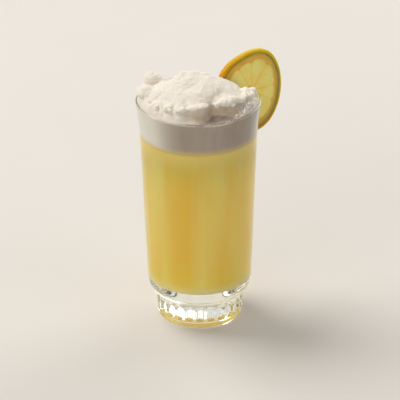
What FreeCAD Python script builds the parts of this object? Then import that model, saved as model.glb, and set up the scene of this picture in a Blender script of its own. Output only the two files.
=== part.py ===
"""A tall glass of fizz: flared tumbler on a fluted foot, cloudy drink, whipped foam and a lemon slice.

Millimetres. +Z is up and the origin is the centre of the foot's underside.
"""
import FreeCAD, Part
import math
import os

import Sketcher
from FreeCAD import Placement, Rotation, Vector

# name, size in mm unless it says otherwise, what it is
SIZES = [
    ("glass_height", 140.0, "underside of the foot to the top of the lip"),
    ("rim_radius", 37.2, "outside of the flared lip"),
    ("flare_start", 114.0, "height where the straight wall begins to flare"),
    ("flare_radius", 34.65, "outside radius where the flare begins"),
    ("flare_bend", 225.0, "radius of the flare's long curve"),
    ("wall", 2.0, "thickness of the wall"),
    ("lip_wall", 1.8, "thickness just under the lip"),
    ("lip_rise", 0.8, "height of the fire-polished lip's round"),
    ("shoulder_height", 25.0, "where the rounded shoulder meets the wall"),
    ("shoulder_radius", 31.2, "outside radius there"),
    ("shoulder_round", 10.0, "radius of the shoulder's curve"),
    ("foot_height", 16.1, "underside to where the foot meets the shoulder"),
    ("foot_radius", 25.8, "fluted part of the foot"),
    ("foot_ring", 4.8, "height of the plain ring below the flutes"),
    ("heel_radius", 25.1, "foot at its heel"),
    ("heel_round", 1.2, "rounding of the heel"),
    ("punt_radius", 20.5, "hollow under the foot"),
    ("punt_depth", 1.6, "depth of that hollow"),
    ("punt_slope", 6.0, "width of the hollow's sloping side"),
    ("floor_height", 24.2, "top of the thick glass floor"),
    ("floor_corner", 6.0, "rounding between floor and wall inside"),
    ("flute_count", 24.0, "flutes round the foot, a count"),
    ("flute_low", 5.2, "lower end of a flute"),
    ("flute_high", 15.0, "upper end of a flute"),
    ("flute_depth", 1.2, "depth of a flute"),
    ("flute_round", 3.4, "radius across a flute"),
    ("flute_arch", 2.2, "rounding of a flute's two ends"),
    ("drink_level", 119.0, "top of the drink, where the foam starts"),
    ("foam_rim", 139.2, "foam where it is lowest, against the wall"),
    ("foam_room", 170.0, "height that clears the heap"),
    ("foam_edge", 36.3, "radius where the heap comes down onto the lip"),
    ("foam_blend", 0.5, "softness of the creases between lumps"),
    ("back_fall_start", 4.0, "how far back the heap starts to slope down"),
    ("foam_skirt", 43.0, "radius of the surface draped over the heap"),
    ("slice_radius", 26.0, "lemon slice"),
    ("slice_thick", 4.5, "its thickness"),
    ("slice_edge", 0.5, "rounding of the rind's edges"),
    ("slice_reach", 37.8, "glass axis to the middle of the slice"),
    ("slice_height", 136.0, "height of the middle of the slice"),
    ("slice_bearing", 36.3, "bearing of the slice from +X, degrees"),
    ("slice_turn", 8.7, "turn of the slice off the radius, degrees"),
    ("slice_lean", 8.0, "lean of the slice, degrees"),
    ("slit_ease", 0.2, "room between the slit and the wall"),
    ("rind", 6.5, "width of the rind with its pith"),
    ("core", 3.0, "where a segment's tip starts"),
    ("segment_count", 9.0, "segments of flesh, a count"),
    ("segment_round", 11.0, "radius of a segment's outer end"),
    ("membrane", 1.2, "membrane between two segments"),
    ("flesh_sink", 0.35, "how far the cut flesh sits below the rind"),
]

# Whipped foam. Bearings are in degrees from +X, and the front of the glass is at 270.
# Where the heap's top ends: bearing and distance from the axis.
HEAP_REACH = {
    0: 33.5, 20: 31.0, 50: 30.0, 100: 30.0, 135: 31.0, 158: 33.0, 185: 36.0, 212: 35.2, 236: 32.4,
    249: 31.4, 260: 29.8, 272: 27.0, 281: 25.0, 290: 23.2, 299: 25.2, 309: 27.5, 319: 29.0, 329: 28.4,
    338: 30.0, 348: 32.0,
}
# Over what distance the side below that end falls away.
HEAP_EDGE = {
    0: 0.7, 60: 1.5, 110: 1.5, 180: 0.6, 215: 0.8, 245: 1.0, 275: 1.0, 300: 0.7, 312: 0.6, 335: 0.7,
}
# The least height of the heap's top over the foam at the wall.
HEAP_LEVEL = {
    0: 3.0, 90: 2.5, 150: 3.0, 175: 6.0, 205: 7.4, 235: 8.0, 270: 8.2, 300: 7.6, 325: 7.2, 345: 5.0,
}
# Foam between the heap and the wall.
GROUND = {
    0: 0.4, 90: -0.3, 200: -0.3, 240: -0.6, 270: -2.0, 290: -3.0, 308: -2.2, 322: 0.8, 335: 1.8, 348: 1.2,
}
# Lumps: bearing and distance of the middle, radius, height, and fullness. A low fullness gives a
# lump a flat top and steep sides.
FOAM_LUMPS = {
    "mound": (135.0, 4.2, 43.0, 16.6, 1.5),
    "crown_left": (154.0, 9.8, 6.6, 17.2, 0.3),
    "crown": (115.0, 4.5, 8.5, 17.6, 0.45),
    "crown_right": (45.0, 6.0, 7.0, 16.8, 0.45),
    "left_knob": (164.0, 29.0, 8.2, 17.0, 0.5),
    "knob_side": (165.0, 23.4, 6.5, 15.4, 0.6),
    "left_roll": (187.0, 31.0, 8.0, 11.4, 0.4),
    "left_back": (141.0, 26.0, 6.5, 10.0, 0.5),
    "back": (106.0, 23.0, 7.0, 13.4, 0.5),
    "back_low": (82.0, 28.5, 5.0, 10.4, 0.5),
    "right_back": (67.0, 22.0, 6.0, 11.0, 0.5),
    "right_tuft": (3.0, 30.0, 5.5, 8.4, 0.4),
    "tuft_front": (347.0, 29.0, 4.5, 7.6, 0.4),
    "curl": (306.0, 23.5, 4.5, 9.2, 0.45),
    "curl_end": (319.0, 25.5, 4.5, 8.8, 0.45),
    "front_ridge": (244.0, 28.0, 5.5, 8.8, 0.4),
    "front_ridge_right": (265.0, 24.5, 5.0, 9.6, 0.4),
}
# Hollows torn into the heap: bearing and distance of the middle, radius, depth.
FOAM_HOLLOWS = {
    "notch": (158.0, 18.6, 4.6, 3.8),
    "middle": (246.0, 10.0, 8.0, 2.2),
    "front_left_tear": (223.5, 32.0, 2.2, 1.8),
    "front_tear": (237.0, 27.6, 2.0, 1.7),
    "front_middle_tear": (251.0, 25.4, 2.8, 1.7),
    "knob_crease": (180.0, 26.0, 3.5, 1.2),
    "curl_groove": (313.0, 18.5, 3.2, 2.0),
    "right_notch": (4.0, 25.5, 2.6, 1.6),
}
HOLLOW_SPREAD = 1.6       # how quickly a hollow ends at its radius
BACK_FALL = 0.28          # slope of the heap's back
GROUND_SQUARENESS = 14    # how squarely the foam comes down at its outer edge
FOAM_CELLS = 44           # cells across the surface draped over the heap
SKIRT_FALL = 1.5          # steepness of that surface outside the foam


def make_sizes(doc):
    """The spreadsheet of driving sizes."""
    sheet = doc.addObject("Spreadsheet::Sheet", "Sizes")
    for row, (name, size, meaning) in enumerate(SIZES, start=1):
        sheet.set("A%d" % row, name)
        sheet.set("B%d" % row, str(size))
        sheet.set("C%d" % row, meaning)
        sheet.setAlias("B%d" % row, name)
    doc.recompute()
    return sheet


def amount(sheet, formula):
    """The number that a formula of the sheet's names gives, worked out in a sheet of its own."""
    doc = sheet.Document
    workings = doc.getObject("Workings") or doc.addObject("Spreadsheet::Sheet", "Workings")
    workings.set("A1", "=" + linked(formula))
    workings.recompute()
    return float(workings.get("A1"))


def linked(formula):
    """The same formula as seen from another object."""
    return formula.replace("#", "Sizes.")


# ---------------------------------------------------------------- sketches and features

def make_sketch(body, name, role, offset=0.0):
    """An empty sketch on one of the body's own origin planes, lifted off it by offset."""
    sketch = body.newObject("Sketcher::SketchObject", name)
    plane = next(f for f in body.Origin.OriginFeatures if f.Role == role)
    sketch.AttachmentSupport = [(plane, "")]
    sketch.MapMode = "FlatFace"
    sketch.AttachmentOffset = Placement(Vector(0, 0, offset), Rotation())
    return sketch


def bind(sketch, constraint, name, formula):
    """Add a dimension and tie it to the sheet."""
    index = sketch.addConstraint(constraint)
    sketch.renameConstraint(index, name)
    sketch.setExpression("Constraints." + name, linked(formula))


def arc_between(start, end, radius, side):
    """The short arc from start to end, with its centre on the left (+1) or the right (-1)."""
    chord = end - start
    left = Vector(-chord.y, chord.x, 0).normalize()
    inset = math.sqrt(radius**2 - (chord.Length / 2) ** 2)
    centre = (start + end) * 0.5 + left * inset * side
    turn = (start, end) if side > 0 else (end, start)
    first, last = [math.atan2(p.y - centre.y, p.x - centre.x) for p in turn]
    return Part.ArcOfCircle(Part.Circle(centre, Vector(0, 0, 1), radius), first, last)


def draw_outline(sheet, sketch, corners):
    """A closed outline of straight and round stretches, dimensioned from the sheet.

    A corner is (across, up) in formulas. A third item, (radius, side), makes the stretch that
    leaves it an arc.
    """
    points = [Vector(amount(sheet, c[0]), amount(sheet, c[1]), 0) for c in corners]
    edges = []
    for i, corner in enumerate(corners):
        start, end = points[i], points[(i + 1) % len(points)]
        if len(corner) == 2:
            edges.append((sketch.addGeometry(Part.LineSegment(start, end)), 1, 2))
            continue
        bend, side = corner[2]
        radius = amount(sheet, bend)
        edge = sketch.addGeometry(arc_between(start, end, radius, side))
        bind(sketch, Sketcher.Constraint("Radius", edge, radius), "bend_%d" % i, bend)
        edges.append((edge, 1, 2) if side > 0 else (edge, 2, 1))
    for i, corner in enumerate(corners):
        edge, head, _ = edges[i]
        before, _, tail = edges[i - 1]
        sketch.addConstraint(Sketcher.Constraint("Coincident", before, tail, edge, head))
        place_corner(sketch, edge, head, "across_%d" % i, corner[0], points[i].x)
        place_corner(sketch, edge, head, "up_%d" % i, corner[1], points[i].y)


def place_corner(sketch, edge, end, name, formula, size):
    """Hold one end of an edge at a distance from the sketch's upright or level axis."""
    upright = name.startswith("across")
    if formula == "0":
        axis = -2 if upright else -1
        sketch.addConstraint(Sketcher.Constraint("PointOnObject", edge, end, axis))
        return
    kind = "DistanceX" if upright else "DistanceY"
    bind(sketch, Sketcher.Constraint(kind, -1, 1, edge, end, size), name, formula)


def spin(body, name, sketch, kind="PartDesign::Revolution", axis="V_Axis"):
    """Turn a sketch all the way round one of its own lines or axes."""
    feature = body.newObject(kind, name)
    feature.Profile = (sketch, [""])
    feature.ReferenceAxis = (sketch, [axis])
    feature.Angle = 360.0
    return feature


def repeat_round(body, name, feature, axis, count):
    """Repeat a feature evenly round an axis, and make that the body's result."""
    pattern = body.newObject("PartDesign::PolarPattern", name)
    pattern.Originals = [feature]
    pattern.Axis = axis
    pattern.Angle = 360.0
    pattern.setExpression("Occurrences", linked(count))
    body.Tip = pattern


def boolean(doc, kind, name, base, tool):
    """A Part::Cut or Part::Common of two objects."""
    result = doc.addObject(kind, name)
    result.Base = base
    result.Tool = tool
    return result


# ---------------------------------------------------------------- the glass

def wall_corners(ease):
    """Outline of the wall from the shoulder up over the lip and down inside, grown by ease."""
    lip_height = "#glass_height - #lip_rise"
    lip_half = "(#lip_wall / 2 + %s)" % ease
    lip_top = "(#lip_rise + %s)" % ease
    lip_bend = "(%s^2 + %s^2) / (2 * %s)" % (lip_half, lip_top, lip_top)
    return [
        ("#shoulder_radius + %s" % ease, "#shoulder_height"),
        ("#flare_radius + %s" % ease, "#flare_start", ("#flare_bend - %s" % ease, -1)),
        ("#rim_radius + %s" % ease, lip_height, (lip_bend, 1)),
        ("#rim_radius - #lip_wall - %s" % ease, lip_height, ("#flare_bend + #wall + %s" % ease, 1)),
        ("#flare_radius - #wall - %s" % ease, "#flare_start"),
    ]


INSIDE_LOW = "#shoulder_radius - #wall"
FLOOR_RADIUS = INSIDE_LOW + " - #floor_corner"


def make_glass(doc, sheet):
    """The tumbler: one turned profile, with flutes cut round its foot."""
    body = doc.addObject("PartDesign::Body", "glass")
    profile = make_sketch(body, "glass_profile", "XZ_Plane")
    foot = [
        ("0", "#punt_depth"),
        ("#punt_radius - #punt_slope", "#punt_depth"),
        ("#punt_radius", "0"),
        ("#heel_radius - #heel_round", "0", ("#heel_round", 1)),
        ("#heel_radius", "#heel_round"),
        ("#foot_radius", "#foot_ring"),
        ("#foot_radius", "#foot_height", ("#shoulder_round", 1)),
    ]
    floor = [
        (INSIDE_LOW, "#floor_height + #floor_corner", ("#floor_corner", -1)),
        (FLOOR_RADIUS, "#floor_height"),
        ("0", "#floor_height"),
    ]
    draw_outline(sheet, profile, foot + wall_corners("0") + floor)
    spin(body, "glass_turned", profile)
    doc.recompute()
    uncut = body.Shape.Volume
    flute = cut_flute(sheet, body)
    repeat_round(body, "flutes", flute, (profile, ["V_Axis"]), "#flute_count")
    doc.recompute()
    if body.Shape.Volume >= uncut:
        raise RuntimeError("the flutes cut nothing out of the foot")
    return body


def cut_flute(sheet, body):
    """One upright flute with arched ends, as a small upright grinding wheel leaves it."""
    sketch = make_sketch(body, "flute_profile", "XZ_Plane")
    wheel_axis = "#foot_radius + #flute_round - #flute_depth"
    deepest = "#foot_radius - #flute_depth"
    arch_end = deepest + " + #flute_arch"
    draw_outline(sheet, sketch, [
        (wheel_axis, "#flute_low"),
        (wheel_axis, "#flute_high"),
        (arch_end, "#flute_high", ("#flute_arch", 1)),
        (deepest, "#flute_high - #flute_arch"),
        (deepest, "#flute_low + #flute_arch", ("#flute_arch", 1)),
        (arch_end, "#flute_low"),
    ])
    return spin(body, "flute", sketch, "PartDesign::Groove", "Edge1")


def make_inside(doc, sheet):
    """The room inside the glass, and above it out to the lip's edge."""
    body = doc.addObject("PartDesign::Body", "inside")
    sketch = make_sketch(body, "inside_profile", "XZ_Plane")
    outside_low, outside_flare, lip_outside, lip_inside, inside_flare = wall_corners("0")
    draw_outline(sheet, sketch, [
        ("0", "#floor_height"),
        (FLOOR_RADIUS, "#floor_height", ("#floor_corner", 1)),
        (INSIDE_LOW, "#floor_height + #floor_corner"),
        (inside_flare[0], inside_flare[1], (lip_inside[2][0], -1)),
        (lip_inside[0], lip_inside[1], (lip_outside[2][0], -1)),
        (lip_outside[0], lip_outside[1]),
        (lip_outside[0], "#foam_room"),
        ("0", "#foam_room"),
    ])
    spin(body, "inside_turned", sketch)
    return body


# ---------------------------------------------------------------- the lemon slice

def slice_placement(sheet):
    """Slice axes: X outwards, Y up and Z through the slice, turned and leaned a little."""
    bearing = math.radians(amount(sheet, "#slice_bearing"))
    reach = amount(sheet, "#slice_reach")
    middle = Vector(reach * math.cos(bearing), reach * math.sin(bearing), amount(sheet, "#slice_height"))
    facing = bearing + math.radians(amount(sheet, "#slice_turn"))
    outwards = Vector(math.cos(facing), math.sin(facing), 0)
    upwards = Vector(0, 0, 1)
    upright = Rotation(outwards, upwards, outwards.cross(upwards), "ZXY")
    lean = Rotation(Vector(1, 0, 0), -amount(sheet, "#slice_lean"))
    return Placement(middle, upright.multiply(lean))


def sink_segments(doc, sheet, body, disc, side):
    """Sink the flesh between the membranes on one face of the slice (+1 or -1)."""
    name = "front" if side > 0 else "back"
    face = make_sketch(body, name + "_segment", "XY_Plane", side * amount(sheet, "#slice_thick / 2"))
    step = "(360 deg / #segment_count)"
    flesh = "(#slice_radius - #rind)"
    draw_outline(sheet, face, [
        ("#core * cos(%s / 2)" % step, "#core * sin(%s / 2)" % step),
        (flesh, "#membrane / 2", ("#segment_round", 1)),
        ("%s * cos(%s) + #membrane / 2 * sin(%s)" % (flesh, step, step),
         "%s * sin(%s) - #membrane / 2 * cos(%s)" % (flesh, step, step)),
    ])
    pocket = body.newObject("PartDesign::Pocket", name + "_flesh")
    pocket.Profile = (face, [""])
    pocket.Reversed = side < 0
    pocket.setExpression("Length", linked("#flesh_sink"))
    doc.recompute()
    repeat_round(body, name + "_segments", pocket, (disc, ["N_Axis"]), "#segment_count")
    doc.recompute()


def make_lemon_wheel(doc, sheet):
    """A whole slice of lemon with its rind, flesh and membranes, before the slit."""
    body = doc.addObject("PartDesign::Body", "lemon_wheel")
    disc = make_sketch(body, "slice_outline", "XY_Plane")
    radius = amount(sheet, "#slice_radius")
    circle = disc.addGeometry(Part.Circle(Vector(), Vector(0, 0, 1), radius))
    disc.addConstraint(Sketcher.Constraint("Coincident", circle, 3, -1, 1))
    bind(disc, Sketcher.Constraint("Radius", circle, radius), "slice_radius", "#slice_radius")
    pad = body.newObject("PartDesign::Pad", "slice_pad")
    pad.Profile = (disc, [""])
    pad.SideType = "Symmetric"
    pad.setExpression("Length", linked("#slice_thick"))
    doc.recompute()
    rim = ["Edge%d" % (i + 1) for i, e in enumerate(pad.Shape.Edges) if isinstance(e.Curve, Part.Circle)]
    rounding = body.newObject("PartDesign::Fillet", "rind_round")
    rounding.Base = (pad, rim)
    rounding.setExpression("Radius", linked("#slice_edge"))
    doc.recompute()
    whole = body.Shape.Volume
    for side in (1, -1):
        sink_segments(doc, sheet, body, disc, side)
    if body.Shape.Volume >= whole:
        raise RuntimeError("the segments sink nothing into the slice")
    body.Placement = slice_placement(sheet)
    return body


def make_slice_blank(doc, sheet):
    """The plain disc that drink and foam are cut round."""
    blank = doc.addObject("Part::Cylinder", "slice_blank")
    blank.setExpression("Radius", linked("#slice_radius"))
    blank.setExpression("Height", linked("#slice_thick"))
    half_thick = Placement(Vector(0, 0, -amount(sheet, "#slice_thick / 2")), Rotation())
    blank.Placement = slice_placement(sheet).multiply(half_thick)
    return blank


def make_slit(doc, sheet):
    """The wall of the glass with a little room round it: the slit the slice is pushed on by."""
    body = doc.addObject("PartDesign::Body", "slit")
    sketch = make_sketch(body, "slit_profile", "XZ_Plane")
    inside_low = (INSIDE_LOW + " - #slit_ease", "#shoulder_height")
    draw_outline(sheet, sketch, wall_corners("#slit_ease") + [inside_low])
    spin(body, "slit_turned", sketch)
    return body


# ---------------------------------------------------------------- foam and drink

def round_table(table, bearing):
    """A smooth value at a bearing out of a table that goes all the way round."""
    bearings = sorted(table)
    after = next((b for b in bearings if b > bearing), bearings[0])
    before = bearings[bearings.index(after) - 1]
    share = (bearing - before) % 360 / ((after - before) % 360)
    share = share * share * (3 - 2 * share)
    return table[before] * (1 - share) + table[after] * share


def away_from(x, y, bearing, distance):
    """Distance of a place from a point given by its bearing and its distance from the axis."""
    angle = math.radians(bearing)
    return math.hypot(x - distance * math.cos(angle), y - distance * math.sin(angle))


def lump_rise(x, y, bearing, distance, radius, height, fullness):
    """Height of one lump; outside its radius it falls away below nothing."""
    inside = 1 - (away_from(x, y, bearing, distance) / radius) ** 2
    return height * inside**fullness if inside > 0 else height * inside


def heap_top(x, y, level, blend, back_fall_start):
    """Top of the heap over the foam at the wall: lumps that run into each other, then hollows."""
    lumps = [level] + [lump_rise(x, y, *lump) for lump in FOAM_LUMPS.values()]
    top = blend * math.log(sum(math.exp(rise / blend) for rise in lumps))
    top -= BACK_FALL * max(y - back_fall_start, 0)
    for bearing, distance, radius, depth in FOAM_HOLLOWS.values():
        out = away_from(x, y, bearing, distance) / radius
        top -= depth * math.exp(-HOLLOW_SPREAD * out**2)
    return top


def foam_height(x, y, edge, blend, back_fall_start):
    """Height of the foam at a place over the foam at the wall."""
    out = math.hypot(x, y)
    if out >= edge:
        return -SKIRT_FALL * (out - edge)
    bearing = math.degrees(math.atan2(y, x)) % 360
    ground = round_table(GROUND, bearing) * math.sqrt(1 - (out / edge) ** GROUND_SQUARENESS)
    top = heap_top(x, y, round_table(HEAP_LEVEL, bearing), blend, back_fall_start)
    past_end = (out - round_table(HEAP_REACH, bearing)) / round_table(HEAP_EDGE, bearing)
    return ground + max(top - ground, 0) / (1 + math.exp(past_end))


def make_foam_heap(doc, sheet):
    """A block under one smooth surface that is draped over the heap."""
    reach = amount(sheet, "#foam_skirt")
    low = amount(sheet, "#foam_rim")
    shape = [amount(sheet, size) for size in ("#foam_edge", "#foam_blend", "#back_fall_start")]
    steps = [2 * i / FOAM_CELLS - 1 for i in range(FOAM_CELLS + 1)]
    poles = []
    for u in steps:
        row = []
        for v in steps:
            x = reach * u * math.sqrt(1 - v * v / 2)
            y = reach * v * math.sqrt(1 - u * u / 2)
            row.append(Vector(x, y, low + foam_height(x, y, *shape)))
        poles.append(row)
    degree = 3
    knots = [float(i) for i in range(FOAM_CELLS - degree + 2)]
    repeats = [degree + 1] + [1] * (len(knots) - 2) + [degree + 1]
    surface = Part.BSplineSurface()
    surface.buildFromPolesMultsKnots(poles, repeats, repeats, knots, knots, False, False, degree, degree)
    heap = doc.addObject("Part::Feature", "foam_heap")
    heap.Shape = surface.toShape().extrude(Vector(0, 0, -2 * (low - amount(sheet, "#drink_level"))))
    return heap


def make_drink_block(doc):
    """Everything below the top of the drink."""
    block = doc.addObject("Part::Cylinder", "drink_block")
    block.setExpression("Radius", linked("#foam_skirt"))
    block.setExpression("Height", linked("#drink_level"))
    return block


# ---------------------------------------------------------------- the whole

def build():
    doc = FreeCAD.newDocument("glass_of_fizz")
    sheet = make_sizes(doc)
    glass = make_glass(doc, sheet)
    inside = make_inside(doc, sheet)
    blank = make_slice_blank(doc, sheet)
    below = make_drink_block(doc)
    heaped = boolean(doc, "Part::Common", "heaped", inside, make_foam_heap(doc, sheet))
    floating = boolean(doc, "Part::Cut", "floating", heaped, below)
    poured = boolean(doc, "Part::Common", "poured", inside, below)
    parts = {
        "glass": glass,
        "drink": boolean(doc, "Part::Cut", "drink_cut", poured, blank),
        "foam": boolean(doc, "Part::Cut", "foam_cut", floating, blank),
        "lemon_slice": boolean(
            doc, "Part::Cut", "lemon_cut", make_lemon_wheel(doc, sheet), make_slit(doc, sheet)
        ),
    }
    for label, part in parts.items():
        part.Label = label
    doc.recompute()
    return doc, parts


def check(doc, parts):
    """Stop before anything is written if an object failed or a part isn't one good solid."""
    for item in doc.Objects:
        if {"Invalid", "Error"} & set(item.State):
            raise RuntimeError("%s failed: %s" % (item.Name, item.State))
    for label, part in parts.items():
        shape = part.Shape
        if shape.isNull() or not shape.isValid() or len(shape.Solids) != 1:
            raise RuntimeError("%s isn't one valid solid (%d)" % (label, len(shape.Solids)))


def write(parts):
    os.makedirs("parts", exist_ok=True)
    for label, part in parts.items():
        part.Shape.exportStep("parts/%s.step" % label)
        print("%-12s %8.0f mm3" % (label, part.Shape.Volume))


document, sub_parts = build()
check(document, sub_parts)
write(sub_parts)
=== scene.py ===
import math
import random

import bmesh
import bpy
import numpy as np
from mathutils import Matrix, Vector, noise


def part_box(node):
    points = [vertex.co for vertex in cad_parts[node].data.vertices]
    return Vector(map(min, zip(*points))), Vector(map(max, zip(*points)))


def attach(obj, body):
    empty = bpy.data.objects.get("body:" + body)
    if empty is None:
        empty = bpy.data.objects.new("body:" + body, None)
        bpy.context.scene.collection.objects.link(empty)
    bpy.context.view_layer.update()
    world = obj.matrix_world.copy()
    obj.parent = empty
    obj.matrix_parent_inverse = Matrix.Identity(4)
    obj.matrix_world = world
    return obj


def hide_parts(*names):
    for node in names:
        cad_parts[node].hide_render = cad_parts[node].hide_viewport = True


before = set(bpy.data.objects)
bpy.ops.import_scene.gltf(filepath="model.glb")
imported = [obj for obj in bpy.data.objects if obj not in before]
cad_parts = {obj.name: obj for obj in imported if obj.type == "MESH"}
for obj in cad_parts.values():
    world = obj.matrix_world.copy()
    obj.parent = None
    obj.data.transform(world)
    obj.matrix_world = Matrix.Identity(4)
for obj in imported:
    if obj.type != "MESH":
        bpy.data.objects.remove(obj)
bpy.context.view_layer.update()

MM = 0.001


def node_box(name):
    """Lowest and highest corner of a CAD node, in millimetres."""
    return [np.array(corner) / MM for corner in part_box(name)]


GLASS_HIGH = node_box("glass")[1]
DRINK_LOW, DRINK_HIGH = node_box("drink")
SLICE_LOW, SLICE_HIGH = node_box("lemon_slice")

# Sizes that more than one piece needs.
LIP_HEIGHT = GLASS_HIGH[2]
LIP_RADIUS = GLASS_HIGH[0]
FLOOR = DRINK_LOW[2]      # the glass's floor, which the drink stands on
DRINK_TOP = DRINK_HIGH[2]
FOAM_EDGE = 139.0         # where the foam meets the wall just under the lip
WET = 0.12                # how far drink and foam reach into the wall


# ---------------- mesh helpers

def arc(start, end, radius, side, steps):
    """Points on the short arc from start to end, its centre on the left (+1) or right (-1)."""
    start, end = np.array(start, float), np.array(end, float)
    chord = end - start
    length = np.hypot(*chord)
    left = np.array([-chord[1], chord[0]]) / length
    centre = (start + end) / 2 + left * side * math.sqrt(radius**2 - length**2 / 4)
    first = math.atan2(*(start - centre)[::-1])
    last = math.atan2(*(end - centre)[::-1])
    turn = (last - first + math.pi) % (2 * math.pi) - math.pi
    angles = first + turn * np.linspace(0, 1, steps + 1)
    return centre + radius * np.column_stack([np.cos(angles), np.sin(angles)])


def straight(start, end, steps):
    """Points evenly along a line."""
    share = np.linspace(0, 1, steps + 1)[:, None]
    return np.array(start, float) * (1 - share) + np.array(end, float) * share


def join_points(*stretches):
    """One line of points out of several stretches, without the points that repeat."""
    points = np.vstack(stretches)
    apart = np.hypot(*np.diff(points, axis=0).T) > 1e-6
    return points[np.concatenate([[True], apart])]


def once_round(count):
    """Bearings in radians, spread evenly once round."""
    return np.linspace(0, 2 * math.pi, count, endpoint=False)


def round_points(radius, turn, height):
    """Points out of their distance from the axis, their bearing and their height."""
    parts = np.broadcast_arrays(radius * np.cos(turn), radius * np.sin(turn), height)
    return np.stack(parts, axis=-1).reshape(-1, 3)


def grid_faces(rows, columns, closed):
    """Quads of a grid of points numbered row by row, closed round if asked."""
    across = columns if closed else columns - 1
    row, column = np.meshgrid(np.arange(rows - 1), np.arange(across), indexing="ij")
    first = row * columns + column
    second = row * columns + (column + 1) % columns
    return np.stack([first, second, second + columns, first + columns], axis=-1).reshape(-1, 4)


def tube_faces(rows, columns):
    """Faces of rings of points, one ring to a row, with a flat face at each end."""
    faces = grid_faces(rows, columns, True).tolist()
    faces.append(list(range(columns))[::-1])
    faces.append([(rows - 1) * columns + i for i in range(columns)])
    return faces


def add_shape(points, faces, more_points, more_faces):
    """Points and faces of two shapes as those of one."""
    moved = [[i + len(points) for i in face] for face in more_faces]
    return np.vstack([points, more_points]), faces + moved


def face_outwards(mesh):
    """Turn every face of a closed mesh outwards."""
    shell = bmesh.new()
    shell.from_mesh(mesh)
    bmesh.ops.recalc_face_normals(shell, faces=shell.faces)
    shell.to_mesh(mesh)
    shell.free()
    mesh.update()


def make_piece(name, points, faces, replaced):
    """A closed, smooth-shaded piece that rides on the body; points are in millimetres."""
    mesh = bpy.data.meshes.new(name)
    mesh.from_pydata((np.asarray(points) * MM).tolist(), [], [list(f) for f in faces])
    mesh.validate()
    mesh.shade_smooth()
    face_outwards(mesh)
    piece = bpy.data.objects.new(name, mesh)
    bpy.context.scene.collection.objects.link(piece)
    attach(piece, "root")
    if replaced:
        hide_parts(replaced)
    return piece


def read_points(piece, what):
    """The place ("co", in metres) or the normal of each point of a piece."""
    values = np.zeros(len(piece.data.vertices) * 3)
    piece.data.vertices.foreach_get(what, values)
    return values.reshape(-1, 3)


def write_mask(piece, name, amounts):
    """Store one number a point, which the piece's material reads as where a finish shows."""
    layer = piece.data.attributes.new(name, "FLOAT", "POINT")
    layer.data.foreach_set("value", np.asarray(amounts, np.float32))


def soft_step(none, full, amount):
    """0 up to none, 1 from full on and smooth between; full may also be the lower of the two."""
    share = np.clip((amount - none) / (full - none), 0, 1)
    return share * share * (3 - 2 * share)


def soft_least(first, second, ease):
    """The lesser of two, with the corner between them eased."""
    return -ease * np.logaddexp(-first / ease, -second / ease)


def ripple(points, size, seed):
    """Smooth random rise and fall, from about -1 to 1, over stretches of the given size."""
    shift = Vector((17.3 * seed, 5.1 * seed, 29.7 * seed))
    return np.array([noise.noise(Vector(p) / size + shift) for p in points])


def puffs(points, size, seed):
    """Rounded puffs of about the given size with creases between them, from 0 to 1."""
    shift = Vector((7.7 * seed, 31.3 * seed, 3.9 * seed))
    nearest = np.array([noise.voronoi(Vector(p) / size + shift)[0][0] for p in points])
    return np.clip(1 - nearest**2, 0, 1)


# ---------------- materials

# Sockets of the node that mixes two colours: the second one's share, both, and the result.
SHARE, FIRST, SECOND = 0, 6, 7
MIXED = 2


def paint(code):
    """A linear colour from an sRGB hex code."""
    parts = [int(code[i:i + 2], 16) / 255 for i in (1, 3, 5)]
    linear = [p / 12.92 if p <= 0.04045 else ((p + 0.055) / 1.055) ** 2.4 for p in parts]
    return (*linear, 1.0)


def add(tree, kind, inputs=None, **settings):
    """Add a node; inputs gives its sockets a value or another node's socket."""
    made = tree.nodes.new("ShaderNode" + kind)
    for name, value in settings.items():
        setattr(made, name, value)
    for name, value in (inputs or {}).items():
        if isinstance(value, bpy.types.NodeSocket):
            tree.links.new(value, made.inputs[name])
        else:
            made.inputs[name].default_value = value
    return made


def new_finish(name):
    """An empty material, its node tree and the place on the piece, in metres."""
    finish = bpy.data.materials.new(name)
    finish.use_nodes = True
    tree = finish.node_tree
    tree.nodes.clear()
    return finish, tree, add(tree, "TexCoord").outputs["Object"]


def pressed_glass():
    """Soda-lime glass, pressed in a mould and fire-polished: clear, faintly grey-green where it is
    thick, with the slow waviness that pressing leaves. Lamps pass it straight through."""
    finish, tree, place = new_finish("pressed_soda_lime_glass")
    wave = add(tree, "TexNoise", {"Vector": place, "Scale": 1 / (11 * MM), "Detail": 1.0})
    bump = add(tree, "Bump", {
        "Height": wave.outputs["Fac"], "Strength": 0.25, "Distance": 0.25 * MM,
    })
    body = add(tree, "BsdfPrincipled", {
        "Base Color": paint("#F6FAF8"),
        "Roughness": 0.0,
        "IOR": 1.52,
        "Transmission Weight": 1.0,
        "Normal": bump.outputs["Normal"],
    })
    path = add(tree, "LightPath")
    through = add(tree, "Math", {
        0: path.outputs["Is Shadow Ray"], 1: path.outputs["Is Diffuse Ray"],
    }, operation="MAXIMUM")
    clear = add(tree, "BsdfTransparent", {"Color": paint("#F9F9F7")})
    mixed = add(tree, "MixShader", {
        0: through.outputs[0], 1: body.outputs[0], 2: clear.outputs[0],
    })
    add(tree, "OutputMaterial", {"Surface": mixed.outputs[0]})
    return finish


FROTH_BAND = (14, 1)      # below the drink's top: from where to where it turns to froth
FLOOR_GLOW_BAND = 10         # how far over the floor the painted light starts to make it paler


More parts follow.
